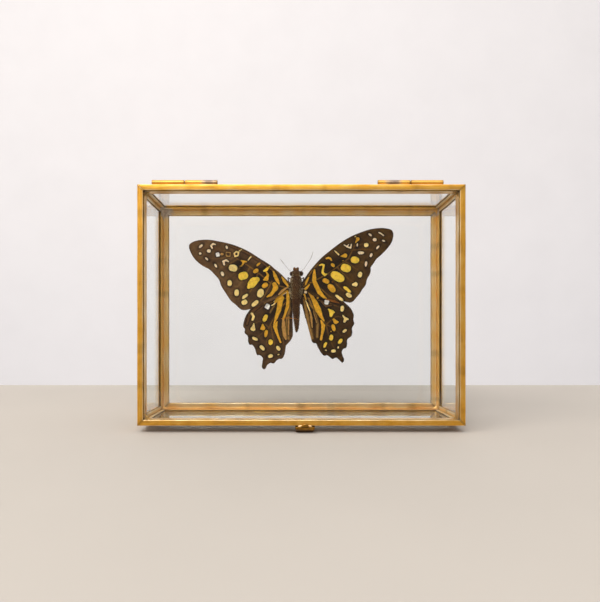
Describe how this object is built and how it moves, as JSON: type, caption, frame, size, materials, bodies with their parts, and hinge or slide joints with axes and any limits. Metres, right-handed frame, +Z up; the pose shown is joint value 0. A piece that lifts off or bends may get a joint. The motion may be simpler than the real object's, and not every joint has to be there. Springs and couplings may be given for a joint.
{
  "type": "butterfly in glass box",
  "caption": "Spotted dark butterfly held upright inside a brass-framed glass box with a top-hinged glass front and a bent brass catch that is its front foot.",
  "frame": {"origin": "middle of the bounding box on the surface that the box stands on, between its rear bottom edge and the foot of its catch", "axes": "+X to the right along the hinges, +Y from the glass front towards the back, +Z up; the box leans back by 4.4 degrees, towards +Y"},
  "size_m": [0.136, 0.0486, 0.1049],
  "materials": {
    "brass": "rolled brass channel, lightly aged, satin",
    "aged_brass": "dark, tarnished brass",
    "pane_glass": "clear float glass, 1.4 mm",
    "solder": "dull grey-brown solder",
    "wing_scales": "dark brown scales with yellow and cream spots, satin",
    "body_fur": "short brown hair",
    "clear_rod": "polished clear acrylic"
  },
  "bodies": {
    "case": {"back_pane": "pane_glass", "left_pane": "pane_glass", "right_pane": "pane_glass", "top_pane": "pane_glass", "bottom_pane": "pane_glass", "rim_bar_top": "brass", "rim_bar_bottom": "brass", "rim_bar_left": "brass", "rim_bar_right": "brass", "back_bar_top": "brass", "back_bar_bottom": "brass", "back_bar_left": "brass", "back_bar_right": "brass", "depth_bar_top_left": "brass", "depth_bar_top_right": "brass", "depth_bar_bottom_left": "brass", "depth_bar_bottom_right": "brass", "hinge_left_case_knuckle": "brass", "hinge_right_case_knuckle": "brass", "hinge_left_pin": "aged_brass", "hinge_right_pin": "aged_brass", "solder_back_top_left": "solder", "solder_back_top_right": "solder", "solder_back_bottom_left": "solder", "solder_back_bottom_right": "solder", "solder_front_top_left": "solder", "solder_front_top_right": "solder", "solder_front_bottom_left": "solder", "solder_front_bottom_right": "solder", "butterfly_body": "body_fur", "left_forewing": "wing_scales", "right_forewing": "wing_scales", "left_hindwing": "wing_scales", "right_hindwing": "wing_scales", "left_antenna": "body_fur", "right_antenna": "body_fur", "left_front_leg": "body_fur", "right_front_leg": "body_fur", "left_middle_leg": "body_fur", "right_middle_leg": "body_fur", "left_hind_leg": "body_fur", "right_hind_leg": "body_fur", "support_rod": "clear_rod"},
    "lid": {"lid_pane": "pane_glass", "lid_bar_top": "brass", "lid_bar_bottom": "brass", "lid_bar_left": "brass", "lid_bar_right": "brass", "hinge_left_lid_knuckle": "brass", "hinge_right_lid_knuckle": "brass", "catch": "aged_brass"}
  },
  "joints": [
    {"name": "lid_hinge", "type": "hinge", "parent": "case", "child": "lid", "pos_m": [0, -0.01283, 0.10387], "axis": [-1, 0, 0], "range_deg": [0, 225]}
  ]
}
